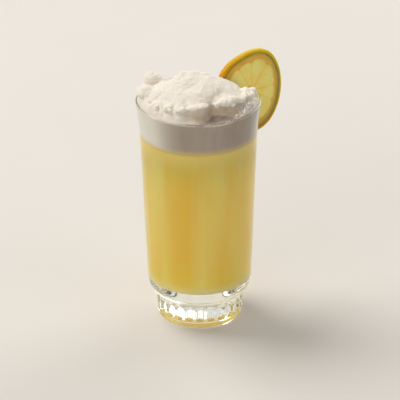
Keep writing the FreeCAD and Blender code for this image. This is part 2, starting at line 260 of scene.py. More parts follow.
def cloudy_sour():
    """Lemon sour shaken with egg white: a haze of juice and fine bubbles, so light soaks in and
    comes back as a soft golden glow, paler where foam mixes in at the top; towards the floor it
    is painted paler, as painted light for light scattered up from the foot. Its colour is painted
    in faint streaks of light and shade, 15 mm wide and ten times as tall."""
    finish, tree, place = new_finish("cloudy_lemon_sour")
    # Painted light and shade: faint tall streaks in the drink's colour, for those the round glass
    # throws.
    tall = add(tree, "Mapping", {"Vector": place, "Scale": (1.0, 1.0, 0.1)})
    light_streaks = add(tree, "TexNoise", {
        "Vector": tall.outputs[0], "Scale": 1 / (15 * MM), "Detail": 2.0, "Distortion": 0.4,
    })
    cloud = add(tree, "MapRange", {
        "Value": light_streaks.outputs["Fac"], "From Min": 0.35, "From Max": 0.65,
    })
    gold = add(tree, "Mix", {
        SHARE: cloud.outputs[0], FIRST: paint("#FDC948"), SECOND: paint("#FDD872"),
    }, data_type="RGBA")
    height = add(tree, "SeparateXYZ", {0: place})
    froth = add(tree, "MapRange", {
        "Value": height.outputs["Z"],
        "From Min": (DRINK_TOP - FROTH_BAND[0]) * MM,
        "From Max": (DRINK_TOP - FROTH_BAND[1]) * MM,
    }, interpolation_type="SMOOTHSTEP")
    frothy = add(tree, "Mix", {
        SHARE: froth.outputs[0], FIRST: gold.outputs[MIXED], SECOND: paint("#FFDE72"),
    }, data_type="RGBA")
    depth = add(tree, "MapRange", {"Value": froth.outputs[0], "To Min": 1.0, "To Max": 0.15})
    # Painted light: the drink turns paler towards the floor, as light scattered up from the foot
    # would make it.
    floor_glow = add(tree, "MapRange", {
        "Value": height.outputs["Z"],
        "From Min": (FLOOR + FLOOR_GLOW_BAND) * MM,
        "From Max": FLOOR * MM,
        "To Max": 0.7,
    }, interpolation_type="SMOOTHSTEP")
    colour = add(tree, "Mix", {
        SHARE: floor_glow.outputs[0], FIRST: frothy.outputs[MIXED], SECOND: paint("#E4D2A2"),
    }, data_type="RGBA")
    body = add(tree, "BsdfPrincipled", {
        "Base Color": colour.outputs[MIXED],
        "Roughness": 0.35,
        "IOR": 1.34,
        "Specular IOR Level": 0.1,
        "Subsurface Weight": depth.outputs[0],
        "Subsurface Radius": (1.0, 0.8, 0.4),
        "Subsurface Scale": 70 * MM,
    })
    add(tree, "OutputMaterial", {"Surface": body.outputs[0]})
    return finish


SOAKED_BAND = (4.4, -1.5)  # over the drink's top: from where to where the foam turns to its gold


def whipped_foam():
    """Egg white shaken to a stiff foam: matt, warm white, made of bubbles too small to see, with a
    scatter of larger ones; painted shade makes it a darker cream in the creases and low hollows
    and greyer low down and down the wall on the front right, which the lamps leave in shade; it
    is gold where the drink soaks its foot. Bubbles are drawn about 0.7 mm across, as coarse as
    they need to be to show."""
    finish, tree, place = new_finish("whipped_egg_white_foam")
    # Painted shade: a darker cream in the creases and low hollows, where shade falls.
    crease_shade = add(tree, "Attribute", attribute_name="crease_shade")
    # Painted shade: a greyer colour, in vertical streaks, on the front right foam low down and down
    # the wall, which the lamps leave in shade.
    wet = add(tree, "Attribute", attribute_name="wet")
    tall = add(tree, "Mapping", {"Vector": place, "Scale": (1.0, 1.0, 0.08)})
    shade_streaks = add(tree, "TexNoise", {
        "Vector": tall.outputs[0], "Scale": 1 / (4.5 * MM), "Detail": 2.0,
    })
    dry = add(tree, "Mix", {
        SHARE: crease_shade.outputs["Fac"], FIRST: paint("#F9F1E6"), SECOND: paint("#D6C296"),
    }, data_type="RGBA")
    pressed = add(tree, "Mix", {
        SHARE: shade_streaks.outputs["Fac"], FIRST: paint("#A29184"), SECOND: paint("#C2B2A6"),
    }, data_type="RGBA")
    low_shade = add(tree, "Mix", {
        SHARE: wet.outputs["Fac"], FIRST: dry.outputs[MIXED], SECOND: pressed.outputs[MIXED],
    }, data_type="RGBA")
    height = add(tree, "SeparateXYZ", {0: place})
    foot = add(tree, "MapRange", {
        "Value": height.outputs["Z"],
        "From Min": (DRINK_TOP + SOAKED_BAND[0]) * MM,
        "From Max": (DRINK_TOP + SOAKED_BAND[1]) * MM,
    }, interpolation_type="SMOOTHSTEP")
    colour = add(tree, "Mix", {
        SHARE: foot.outputs[0], FIRST: low_shade.outputs[MIXED], SECOND: paint("#EACE74"),
    }, data_type="RGBA")
    bubbles = add(tree, "TexVoronoi", {"Vector": place, "Scale": 1 / (0.7 * MM)})
    grain = add(tree, "TexNoise", {
        "Vector": place, "Scale": 1 / (1.6 * MM), "Detail": 4.0, "Roughness": 0.6,
    })
    relief = add(tree, "Math", {
        0: bubbles.outputs["Distance"], 1: grain.outputs["Fac"],
    }, operation="ADD")
    bump = add(tree, "Bump", {
        "Height": relief.outputs[0], "Strength": 0.5, "Distance": 0.2 * MM,
    })
    body = add(tree, "BsdfPrincipled", {
        "Base Color": colour.outputs[MIXED],
        "Roughness": 0.6,
        "IOR": 1.33,
        "Subsurface Weight": 0.35,
        "Subsurface Radius": (1.0, 0.85, 0.65),
        "Subsurface Scale": 2.5 * MM,
        "Normal": bump.outputs["Normal"],
    })
    add(tree, "OutputMaterial", {"Surface": body.outputs[0]})
    return finish


def foam_bubble():
    """Large bubbles in egg-white foam: a thin wet film with foam behind it, so they shine and
    stay nearly as pale as the foam."""
    finish, tree, place = new_finish("wet_egg_white_bubble")
    swirl = add(tree, "TexNoise", {"Vector": place, "Scale": 1 / (0.8 * MM), "Detail": 2.0})
    film = add(tree, "Mix", {
        SHARE: swirl.outputs["Fac"], FIRST: paint("#F6E8DC"), SECOND: paint("#FFF8EE"),
    }, data_type="RGBA")
    body = add(tree, "BsdfPrincipled", {
        "Base Color": film.outputs[MIXED],
        "Roughness": 0.1,
        "IOR": 1.34,
        "Transmission Weight": 0.12,
        "Subsurface Weight": 0.3,
        "Subsurface Radius": (1.0, 0.85, 0.65),
        "Subsurface Scale": 2.5 * MM,
    })
    add(tree, "OutputMaterial", {"Surface": body.outputs[0]})
    return finish


def lemon_zest():
    """Lemon zest: waxy skin packed with oil glands 0.9 mm across, so it shines softly, is pitted
    like fine leather and lets light glow a little way in; it is more orange towards the glass."""
    finish, tree, place = new_finish("waxy_lemon_zest")
    ripeness = add(tree, "Attribute", attribute_name="ripeness")
    patch = add(tree, "TexNoise", {"Vector": place, "Scale": 1 / (9 * MM), "Detail": 2.0})
    tint = add(tree, "Mix", {
        SHARE: ripeness.outputs["Fac"], FIRST: paint("#C67200"), SECOND: paint("#FFE034"),
    }, data_type="RGBA")
    colour = add(tree, "Mix", {
        SHARE: patch.outputs["Fac"], FIRST: tint.outputs[MIXED], SECOND: paint("#E6A816"),
    }, data_type="RGBA")
    glands = add(tree, "TexVoronoi", {
        "Vector": place, "Scale": 1 / (0.9 * MM),
    }, feature="SMOOTH_F1")
    bump = add(tree, "Bump", {
        "Height": glands.outputs["Distance"], "Strength": 0.5, "Distance": 0.15 * MM,
    })
    body = add(tree, "BsdfPrincipled", {
        "Base Color": colour.outputs[MIXED],
        "Roughness": 0.45,
        "IOR": 1.45,
        "Specular IOR Level": 0.12,
        "Subsurface Weight": 0.85,
        "Subsurface Radius": (1.0, 0.75, 0.2),
        "Subsurface Scale": 7 * MM,
        "Normal": bump.outputs["Normal"],
    })
    add(tree, "OutputMaterial", {"Surface": body.outputs[0]})
    return finish


def lemon_flesh():
    """Cut lemon: wet, half-clear juice sacs that lie like petals towards the core, thin walls
    between the segments, and a band of spongy pith under the zest, painted a darker golden brown as
    painted shade."""
    finish, tree, place = new_finish("cut_lemon_flesh")
    pith = add(tree, "Attribute", attribute_name="pith")
    wall = add(tree, "Attribute", attribute_name="membrane")
    sacs = add(tree, "Attribute", attribute_name="sacs")
    patch = add(tree, "TexNoise", {"Vector": place, "Scale": 1 / (7 * MM), "Detail": 2.0})
    cloud = add(tree, "MapRange", {
        "Value": patch.outputs["Fac"], "From Min": 0.38, "From Max": 0.62,
    })
    juice = add(tree, "Mix", {
        SHARE: cloud.outputs[0], FIRST: paint("#FFC358"), SECOND: paint("#FFE086"),
    }, data_type="RGBA")
    clear = add(tree, "MapRange", {"Value": sacs.outputs["Fac"], "To Min": 0.25, "To Max": 0.8})
    flesh = add(tree, "Mix", {
        SHARE: clear.outputs[0], FIRST: juice.outputs[MIXED], SECOND: paint("#FFE6A0"),
    }, data_type="RGBA")
    thin = add(tree, "MapRange", {"Value": wall.outputs["Fac"], "To Max": 0.32})
    walled = add(tree, "Mix", {
        SHARE: thin.outputs[0], FIRST: flesh.outputs[MIXED], SECOND: paint("#F6C860"),
    }, data_type="RGBA")
    # Painted shade: the pith takes a darker golden brown in place of its own white, for the shade
    # it lies in.
    shaded_pith = add(tree, "Mix", {
        SHARE: patch.outputs["Fac"], FIRST: paint("#D6A63E"), SECOND: paint("#F4CE6C"),
    }, data_type="RGBA")
    colour = add(tree, "Mix", {
        SHARE: pith.outputs["Fac"], FIRST: walled.outputs[MIXED], SECOND: shaded_pith.outputs[MIXED],
    }, data_type="RGBA")
    shine = add(tree, "MapRange", {"Value": pith.outputs["Fac"], "To Min": 0.18, "To Max": 0.6})
    grain = add(tree, "TexNoise", {"Vector": place, "Scale": 1 / (1.2 * MM), "Detail": 3.0})
    bump = add(tree, "Bump", {
        "Height": grain.outputs["Fac"], "Strength": 0.35, "Distance": 0.12 * MM,
    })
    body = add(tree, "BsdfPrincipled", {
        "Base Color": colour.outputs[MIXED],
        "Roughness": shine.outputs[0],
        "IOR": 1.36,
        "Specular IOR Level": 0.3,
        "Subsurface Weight": 0.95,
        "Subsurface Radius": (1.0, 0.85, 0.4),
        "Subsurface Scale": 16 * MM,
        "Normal": bump.outputs["Normal"],
    })
    add(tree, "OutputMaterial", {"Surface": body.outputs[0]})
    return finish


def studio_floor():
    """Matt painted board, pale and plain."""
    finish, tree, place = new_finish("matt_painted_board")
    grain = add(tree, "TexNoise", {"Vector": place, "Scale": 1 / (60 * MM), "Detail": 2.0})
    colour = add(tree, "Mix", {
        SHARE: grain.outputs["Fac"], FIRST: paint("#E4E2DE"), SECOND: paint("#E7E5E1"),
    }, data_type="RGBA")
    body = add(tree, "BsdfPrincipled", {"Base Color": colour.outputs[MIXED], "Roughness": 0.7})
    add(tree, "OutputMaterial", {"Surface": body.outputs[0]})
    return finish


# ---------------- the glass

LIP_RISE = 0.8            # the fire-polished round on top of the lip
LIP_WALL = 1.8
WALL = 2.0
FLARE_START = (34.65, 114.0)   # radius and height where the wall starts to bend outwards
FLARE_BEND = 225.0
SHOULDER_TOP = (31.2, 25.0)
SHOULDER_ROUND = 10.0
FOOT_RADIUS = 25.8
FOOT_TOP = 16.1
FOOT_RING = 4.8           # plain ring under the flutes
HEEL_RADIUS = 25.1
HEEL_ROUND = 1.2
PUNT_RADIUS = 20.5        # the punt is the hollow under the foot
PUNT_SLOPE = 6.0
PUNT_DEPTH = 1.6
FLOOR_CORNER = 6.0

FLUTES = 24
FLUTE_SPOKES = 12         # lines of points across one flute
FLUTE_LOW = 5.2
FLUTE_HIGH = 15.0
FLUTE_DEPTH = 1.2
FLUTE_ROUND = 3.4
FLUTE_ARCH = 2.2
FLUTE_EDGE = 0.12         # how far the mould softens the edge of a flute


def outside_wall():
    """The wall's outside line from the shoulder up to the lip, as points (radius, height)."""
    lip = (LIP_RADIUS, LIP_HEIGHT - LIP_RISE)
    return join_points(
        straight(SHOULDER_TOP, FLARE_START, 60),
        arc(FLARE_START, lip, FLARE_BEND, -1, 24),
    )


def inside_wall():
    """The inside line from the floor's rounded corner up to the lip."""
    low = SHOULDER_TOP[0] - WALL
    flare = (FLARE_START[0] - WALL, FLARE_START[1])
    lip = (LIP_RADIUS - LIP_WALL, LIP_HEIGHT - LIP_RISE)
    return join_points(
        arc((low - FLOOR_CORNER, FLOOR), (low, FLOOR + FLOOR_CORNER), FLOOR_CORNER, 1, 12),
        straight((low, FLOOR + FLOOR_CORNER), flare, 60),
        arc(flare, lip, FLARE_BEND + WALL, -1, 24),
    )


def inside_radius(height):
    """Radius of the room inside the glass at a height."""
    line = inside_wall()
    return np.interp(height, line[:, 1], line[:, 0])


def glass_profile():
    """The whole section, from the axis under the foot, up outside, over the lip and down inside."""
    lip_bend = ((LIP_WALL / 2) ** 2 + LIP_RISE**2) / (2 * LIP_RISE)
    punt_top = (PUNT_RADIUS - PUNT_SLOPE, PUNT_DEPTH)
    heel_low = (HEEL_RADIUS - HEEL_ROUND, 0)
    heel_high = (HEEL_RADIUS, HEEL_ROUND)
    ring_top = (FOOT_RADIUS, FOOT_RING)
    foot_top = (FOOT_RADIUS, FOOT_TOP)
    lip_outside = (LIP_RADIUS, LIP_HEIGHT - LIP_RISE)
    lip_inside = (LIP_RADIUS - LIP_WALL, LIP_HEIGHT - LIP_RISE)
    return join_points(
        straight((0, PUNT_DEPTH), punt_top, 12),
        straight(punt_top, (PUNT_RADIUS, 0), 8),
        straight((PUNT_RADIUS, 0), heel_low, 5),
        arc(heel_low, heel_high, HEEL_ROUND, 1, 6),
        straight(heel_high, ring_top, 8),
        straight(ring_top, foot_top, 44),
        arc(foot_top, SHOULDER_TOP, SHOULDER_ROUND, 1, 20),
        outside_wall(),
        arc(lip_outside, lip_inside, lip_bend, 1, 12),
        inside_wall()[::-1],
        straight((SHOULDER_TOP[0] - WALL - FLOOR_CORNER, FLOOR), (0, FLOOR), 12),
    )


def flute_cut(turn, height):
    """Radius that the flutes leave on the foot: upright scallops with arched ends."""
    pitch = 2 * math.pi / FLUTES
    across = FOOT_RADIUS * ((turn + pitch / 2) % pitch - pitch / 2)
    wheel = FOOT_RADIUS + FLUTE_ROUND - FLUTE_DEPTH
    past_arch = np.maximum(FLUTE_LOW + FLUTE_ARCH - height, height - (FLUTE_HIGH - FLUTE_ARCH))
    arch = np.sqrt(np.clip(FLUTE_ARCH**2 - np.maximum(past_arch, 0) ** 2, 0, None))
    reach = FLUTE_ROUND - FLUTE_ARCH + arch
    cut = wheel - np.sqrt(np.clip(reach**2 - across**2, 0, None))
    return np.where(past_arch >= FLUTE_ARCH, FOOT_RADIUS + FLUTE_ROUND, cut)


def make_glass():
    """The tumbler turned from its profile, with the flutes pressed into its foot."""
    profile = glass_profile()[1:-1]
    spokes = FLUTES * FLUTE_SPOKES
    turn = once_round(spokes)[None, :]
    radius, height = profile[:, :1], profile[:, 1:]
    # Only the outside of the foot is fluted, so the punt and the floor are left out.
    on_foot = (height > FOOT_RING) & (height < FOOT_TOP + 2) & (radius > PUNT_RADIUS + 1)
    cut = soft_least(radius, flute_cut(turn, height), FLUTE_EDGE)
    points = round_points(np.where(on_foot, cut, radius), turn, height)
    faces = grid_faces(len(profile), spokes, True).tolist()
    under, over = len(points), len(points) + 1
    points = np.vstack([points, (0, 0, PUNT_DEPTH), (0, 0, FLOOR)])
    last = (len(profile) - 1) * spokes
    for i in range(spokes):
        after = (i + 1) % spokes
        faces.append((under, after, i))
        faces.append((over, last + i, last + after))
    piece = make_piece("pressed_tumbler", points, faces, "glass")
    piece.data.materials.append(pressed_glass())


# ---------------- the drink

DRINK_WET = WET * 0.6     # how far its side reaches into the wall, less far than the foam
DRINK_SPOKES = 192
DRINK_HUB = 0.5           # radius of the small flat face in the middle of its floor and its top


def make_drink():
    """The drink: it fills the glass up to the foam and reaches just into the wall."""
    side = inside_wall()
    side = side[side[:, 1] <= DRINK_TOP]
    side = np.vstack([side, (inside_radius(DRINK_TOP), DRINK_TOP)])
    side = side + (DRINK_WET, 0)
    floor = straight((DRINK_HUB, FLOOR), side[0], 10)
    top = straight(side[-1], (DRINK_HUB, DRINK_TOP), 12)
    profile = join_points(floor, side, top)
    profile[:, 1] = np.where(profile[:, 1] < FLOOR + 0.01, FLOOR - WET, profile[:, 1])
    points = round_points(profile[:, :1], once_round(DRINK_SPOKES)[None, :], profile[:, 1:])
    faces = tube_faces(len(profile), DRINK_SPOKES)
    piece = make_piece("lemon_sour", points, faces, "drink")
    piece.data.materials.append(cloudy_sour())


# ---------------- the foam

# The tables below give a value in millimetres for some bearings, in degrees from +X; the front
# is at 270. Heights count from FOAM_EDGE.

# How far the heap's top reaches from the axis.
HEAP_REACH = {
    0: 33.5, 20: 31.0, 50: 30.0, 100: 30.0, 135: 31.0, 158: 33.0, 185: 36.0, 212: 35.2,
    236: 32.4, 249: 31.4, 260: 29.8, 272: 27.0, 281: 25.0, 290: 23.2, 299: 25.2, 309: 27.5,
    319: 29.0, 329: 28.4, 338: 30.0, 348: 32.0,
}
# How far the side is hollowed in under that end.
HEAP_UNDERCUT = {
    0: 2.0, 20: 0.5, 200: 0.0, 232: 0.0, 248: 0.4, 270: 0.6, 284: 1.4, 300: 4.0, 318: 4.2,
    332: 1.2, 345: 1.6,
}
# Over what distance the side falls away.
HEAP_EDGE = {
    0: 0.9, 60: 1.5, 110: 1.5, 180: 0.9, 200: 1.5, 222: 2.4, 236: 2.5, 250: 2.3, 272: 2.1,
    300: 1.1, 312: 0.9, 335: 0.9,
}
# The least height of the heap's top.
HEAP_LEVEL = {
    0: 3.0, 90: 2.5, 150: 3.0, 175: 6.0, 205: 7.4, 235: 8.0, 270: 8.2, 300: 7.6, 325: 7.2,
    345: 5.0,
}
# Height of the foam between the heap and the wall.
GROUND = {
    0: 0.8, 90: -0.3, 200: 0.3, 225: 0.6, 245: -0.4, 270: -1.2, 290: -2.0, 308: -1.0, 320: 1.6,
    332: 3.2, 346: 2.8,
}
# How far below its edge at the front the foam meets the wall.
WALL_DROP = {
    0: 0.5, 18: 3.0, 45: 5.0, 75: 4.5, 100: 3.6, 125: 4.2, 148: 2.2, 172: 0.0, 345: 0.0,
}
DROP_BAND = (12.0, 30.0)  # distances from the axis between which that drop comes in
GROUND_LIMIT = LIP_RADIUS - 0.9   # the top of the lip, where the ground's height has run out
GROUND_SQUARENESS = 14.0
BACK_FALL_START = 4.0     # how far back the heap starts to slope down
BACK_FALL = 0.28
LUMP_BLEND = 0.5          # how softly one lump runs into the next

# Lumps of the heap: bearing in degrees and distance of the middle, radius, height, and fullness;
# a small fullness gives a lump with a flat top and steep sides.
FOAM_LUMPS = {
    "mound": (135.0, 4.2, 43.0, 16.6, 1.5),
    "crown_left": (154.0, 9.8, 6.6, 17.2, 0.3),
    "crown": (115.0, 4.5, 8.5, 17.6, 0.45),
    "crown_right": (45.0, 6.0, 7.0, 16.8, 0.45),
    "left_knob": (164.0, 29.0, 8.2, 17.0, 0.5),
    "knob_side": (165.0, 23.4, 6.5, 15.4, 0.6),
    "left_roll": (187.0, 31.0, 8.0, 12.0, 0.4),
    "left_shelf": (197.0, 24.0, 11.0, 10.6, 0.6),
    "left_back": (150.0, 28.0, 5.5, 10.0, 0.5),
    "back": (106.0, 23.0, 7.0, 13.4, 0.5),
    "back_low": (82.0, 28.5, 5.0, 10.4, 0.5),
    "right_back": (67.0, 22.0, 6.0, 11.0, 0.5),
    "right_tuft": (3.0, 29.0, 6.5, 8.2, 0.45),
    "tuft_front": (347.0, 29.0, 4.5, 7.6, 0.4),
    "curl": (306.0, 23.5, 4.5, 9.2, 0.45),
    "curl_end": (319.0, 25.5, 4.5, 8.8, 0.45),
    "front_ridge": (244.0, 28.0, 5.5, 8.8, 0.4),
    "front_ridge_right": (262.0, 24.0, 6.0, 8.8, 0.5),
}
# Hollows torn into the heap: bearing, distance, radius, depth.
FOAM_HOLLOWS = {
    "notch": (155.0, 19.2, 4.6, 4.6),
    "notch_front": (169.0, 18.3, 4.0, 2.6),
    "notch_back": (139.0, 24.5, 6.0, 3.8),
    "right_dip": (22.0, 27.0, 6.0, 1.9),
    "middle": (246.0, 10.0, 8.0, 2.2),
    "front_left_tear": (223.5, 32.0, 2.2, 1.8),
    "front_tear": (239.5, 28.0, 2.0, 2.4),
    "front_middle_tear": (254.5, 26.6, 2.2, 2.4),
    "curl_groove": (313.0, 18.5, 3.2, 2.0),
    "right_notch": (6.0, 25.0, 2.6, 1.0),
}
HOLLOW_STEEPNESS = 1.6
# Lumps that stand out over the sides: middle, half length, half width and half height, and the
# bearing of the long way.
FREE_LUMPS = {
    "curl": ((15.4, -19.2, 146.4), (6.6, 3.2, 1.7), 28.0),
    "curl_bead": ((20.2, -16.6, 147.0), (3.6, 2.5, 1.9), 12.0),
    "curl_end": ((24.4, -13.6, 145.6), (3.4, 2.4, 1.5), 40.0),
    "ledge": ((-10.9, -26.6, 145.7), (3.1, 2.6, 0.95), 8.0),
    "ledge_middle": ((-2.2, -26.0, 146.0), (4.6, 2.8, 0.9), 8.0),
    "ledge_left": ((-17.6, -24.4, 145.3), (2.6, 2.2, 1.2), 40.0),
    "ledge_right": ((3.6, -24.4, 146.4), (2.8, 2.4, 1.0), 35.0),
    "tuft": ((29.0, -2.2, 143.8), (5.8, 3.8, 2.0), 70.0),
    "tuft_tip": ((31.6, 2.2, 144.8), (3.0, 2.3, 1.6), 60.0),
    "knob_head": ((-26.4, 6.2, 151.7), (5.4, 4.4, 2.6), 168.0),
    "roll_side": ((-32.4, -3.2, 146.6), (6.6, 3.4, 3.2), 96.0),
}
LUMP_POLE = 0.02          # radians between a lump's poles and its first ring of points

CRUMBS = 34               # little lumps along the heap's front edge
CRUMB_SIZE = (0.5, 1.15)
CRUMB_LENGTH = (1.0, 1.7)     # over their size
CRUMB_HEIGHT = (0.6, 0.9)
CRUMB_BEARING = (218.0, 362.0)
CRUMB_INSET = (0.0, 5.0)  # how far in from the heap's end they lie
CRUMB_LEVEL = 6.2         # none lies lower than this over FOAM_EDGE

BUBBLES = 90
BUBBLE_SIZE = (0.4, 1.15)
BUBBLE_BEARING = (333.0, 9.0)   # middle and spread
BUBBLE_DISTANCE = (29.0, 35.0)
BUBBLE_LEVEL = 0.6        # they lie only on foam that is higher than this over FOAM_EDGE
BUBBLE_NEAR = 0.6         # the foam within this distance carries a bubble
BUBBLE_RISE = 0.25        # share of its radius by which a bubble's middle is over that foam

FOAM_CELLS = 270          # cells across the heap before it is made even
FOAM_GRAIN = 0.45         # size of the faces of the foam's skin
EDGE_SQUARENESS = 30      # how tightly the heap's ground rolls over to the wall
BAND_STEP = 0.6           # between two rows of points down the wall
FOOT_SINK = 0.3           # how far the foam's foot reaches into the drink, but for its waves
FOOT_WAVES = ((9.0, 3, 0.7), (2.5, 4, 0.25))   # length, seed and height
UNDER_SINK = 1.0          # how far under the drink's top the foam is closed

# Pairs of heights over FOAM_EDGE, between which a finish or the relief comes in.
SKIN_BAND = (-0.2, 2.5)   # all of the skin is free to stand out
LOOSE_BAND = (-6.0, -4.0)     # what is off the wall is free
CALM_BAND = (3.5, 6.5)    # the fine relief comes to its full depth
GLASS_BAND = (0.5, -1.0)  # the foam is down inside the glass
LOW_SHADE_BAND = (7.0, 1.0)     # the low foam takes painted shade

LOOSE_GAP = (0.8, 2.5)    # distances from the wall between which foam comes loose
FRONT_BAND = (2.0, -8.0)  # how far along Y the torn rim starts and is at its full
CALM = 0.35               # share of the fine relief that the lowest part of the heap keeps
CREASE_SHADE_DEPTH = (0.1, -1.5)    # heights of the relief where the painted shade of creases starts and is full
RIM_INSET = 1.5           # how far in from the heap's end its torn rim lies
RIM_WIDTH = 4.0
WARP = 2.5                # how far the puffs are drawn out of shape
CLING = 1.2               # foam this close to the wall lies against it
LIP_MARGIN = 0.4          # between the foam and the lip's outer edge, and below the lip's top
LIP_SLOPE = 1.2           # how steeply the foam spreads over the lip
WALL_BAND = (DRINK_TOP + 0.3, FOAM_EDGE - 0.4)   # heights between which foam may cling
SHADED_SIDE = np.array((0.34, -0.94))   # the side the lamps leave in shade, where the foam gets painted shade
SHADE_FACING = (0.3, 0.85)      # how squarely a place faces that side where the painted grey shade comes in
HOLLOW_SHADE_FACING = (0.75, 0.95)   # and where the low foam takes a painted cream shade
# Shares of painted shade on the low foam: grey, then cream.
LOW_SHADE_SHARE = 0.15
HOLLOW_SHADE_SHARE = 0.55


def round_table(table, turn):
    """A smooth value for each bearing out of a few given ones, going all the way round."""
    bearings = np.array(sorted(table))
    values = np.array([table[b] for b in bearings])
    bearing = np.degrees(turn) % 360
    after = np.searchsorted(bearings, bearing, side="right") % len(bearings)
    before = after - 1
    gap = (bearings[after] - bearings[before]) % 360
    share = ((bearing - bearings[before]) % 360) / gap
    share = share * share * (3 - 2 * share)
    return values[before] * (1 - share) + values[after] * share


def away_from(across, along, bearing, distance):
    """Distance of each place from a point given by its bearing in degrees and its distance."""
    angle = math.radians(bearing)
    return np.hypot(across - distance * math.cos(angle), along - distance * math.sin(angle))


def wall_drop(across, along):
    """How far the foam's ground sinks towards the wall, as a height of nought or less."""
    drop = round_table(WALL_DROP, np.arctan2(along, across))
    return -drop * soft_step(*DROP_BAND, np.hypot(across, along))


def foam_rise(across, along):
    """Height of the foam over its edge: lumps that run into one broad top with a torn edge."""
    out = np.hypot(across, along)
    turn = np.arctan2(along, across)
    total = np.exp(round_table(HEAP_LEVEL, turn) / LUMP_BLEND)
    for bearing, distance, radius, height, fullness in FOAM_LUMPS.values():
        inside = 1 - (away_from(across, along, bearing, distance) / radius) ** 2
        rise = height * np.where(inside > 0, np.clip(inside, 0, None) ** fullness, inside)
        total = total + np.exp(rise / LUMP_BLEND)
    top = LUMP_BLEND * np.log(total) - BACK_FALL * np.maximum(along - BACK_FALL_START, 0)
    for bearing, distance, radius, depth in FOAM_HOLLOWS.values():
        away = away_from(across, along, bearing, distance) / radius
        top = top - depth * np.exp(-HOLLOW_STEEPNESS * away**2)
    run_out = np.sqrt(np.clip(1 - (out / GROUND_LIMIT) ** GROUND_SQUARENESS, 0, 1))
    ground = round_table(GROUND, turn) * run_out + wall_drop(across, along)
    reach = round_table(HEAP_REACH, turn) - round_table(HEAP_UNDERCUT, turn)
    past_edge = (out - reach) / round_table(HEAP_EDGE, turn)
    return ground + (np.maximum(top, ground) - ground) / (1 + np.exp(np.clip(past_edge, -60, 60)))


def heap_grid(cells, edge):
    """A square grid drawn out to a disc, so that its cells stay even, and each point's share of
    the way out to the edge."""
    steps = np.linspace(-1, 1, cells + 1)
    u, v = np.meshgrid(steps, steps, indexing="ij")
    across = (edge * u * np.sqrt(1 - v * v / 2)).ravel()
    along = (edge * v * np.sqrt(1 - u * u / 2)).ravel()
    return across, along, np.hypot(across, along) / edge


def square_border(cells):
    """Numbers of the grid's border points, going round once."""
    side = cells + 1
    low = list(range(cells))
    right = [i * side + cells for i in range(cells)]
    high = [cells * side + j for j in range(cells, 0, -1)]
    left = [i * side for i in range(cells, 0, -1)]
    return low + right + high + left


def free_lump(middle, radii, bearing, rows=24, spokes=48):
    """Points and faces of one rounded lump."""
    tilt = np.linspace(LUMP_POLE, math.pi - LUMP_POLE, rows)[:, None]
    turn = once_round(spokes)[None, :]
    along = radii[0] * np.sin(tilt) * np.cos(turn)
    across = radii[1] * np.sin(tilt) * np.sin(turn)
    up = np.repeat(radii[2] * np.cos(tilt), spokes, axis=1)
    angle = math.radians(bearing)
    points = np.stack([
        middle[0] + along * math.cos(angle) - across * math.sin(angle),
        middle[1] + along * math.sin(angle) + across * math.cos(angle),
        middle[2] + up,
    ], axis=-1).reshape(-1, 3)
    return points, tube_faces(rows, spokes)


def crumbs():
    """Little lumps scattered along the front edge of the heap's top."""
    scatter = random.Random(7)
    lumps = []
    for _ in range(CRUMBS):
        turn = math.radians(scatter.uniform(*CRUMB_BEARING))
        end = float(round_table(HEAP_REACH, np.array([turn]))[0])
        distance = end - scatter.uniform(*CRUMB_INSET)
        across, along = distance * math.cos(turn), distance * math.sin(turn)
        height = FOAM_EDGE + float(foam_rise(np.array([across]), np.array([along]))[0])
        size = scatter.uniform(*CRUMB_SIZE)
        length = size * scatter.uniform(*CRUMB_LENGTH)
        radii = (length, size, size * scatter.uniform(*CRUMB_HEIGHT))
        middle = (across, along, max(height, FOAM_EDGE + CRUMB_LEVEL))
        lumps.append((middle, radii, scatter.uniform(0, 180)))
    return lumps


def foam_band(ring):
    """Rows of points from the heap's edge down the wall to the drink, and in under the foam."""
    turn = np.arctan2(ring[:, 1], ring[:, 0])
    rows = []
    for level in np.arange(FOAM_EDGE - BAND_STEP, DRINK_TOP, -BAND_STEP):
        share = (level - DRINK_TOP) / (FOAM_EDGE - DRINK_TOP)
        height = DRINK_TOP + share * (ring[:, 2] - DRINK_TOP)
        rows.append(round_points(inside_radius(height) + WET, turn, height))
    # The foot is uneven, in long waves and short ones that the ring's height has no part in.
    flat_ring = ring / (1, 1, 1e9)
    uneven = sum(ripple(flat_ring, size, seed) * rise for size, seed, rise in FOOT_WAVES)
    rows.append(np.column_stack([rows[-1][:, :2], DRINK_TOP - FOOT_SINK + uneven]))
    under = np.full(len(ring), DRINK_TOP - UNDER_SINK)
    for share in (0.8, 0.5, 0.2):
        rows.append(np.column_stack([rows[-1][:, :2] * share, under]))
    return rows


def make_even(piece, size):
    """Melt overlapping closed shapes into one skin of even faces."""
    melt = piece.modifiers.new("melt", "REMESH")
    melt.mode = "VOXEL"
    melt.voxel_size = size * MM
    melt.use_smooth_shade = True
    soften = piece.modifiers.new("soften", "SMOOTH")
    soften.factor = 0.5
    soften.iterations = 3
    graph = bpy.context.evaluated_depsgraph_get()
    even = bpy.data.meshes.new_from_object(piece.evaluated_get(graph))
    piece.modifiers.clear()
    piece.data = even


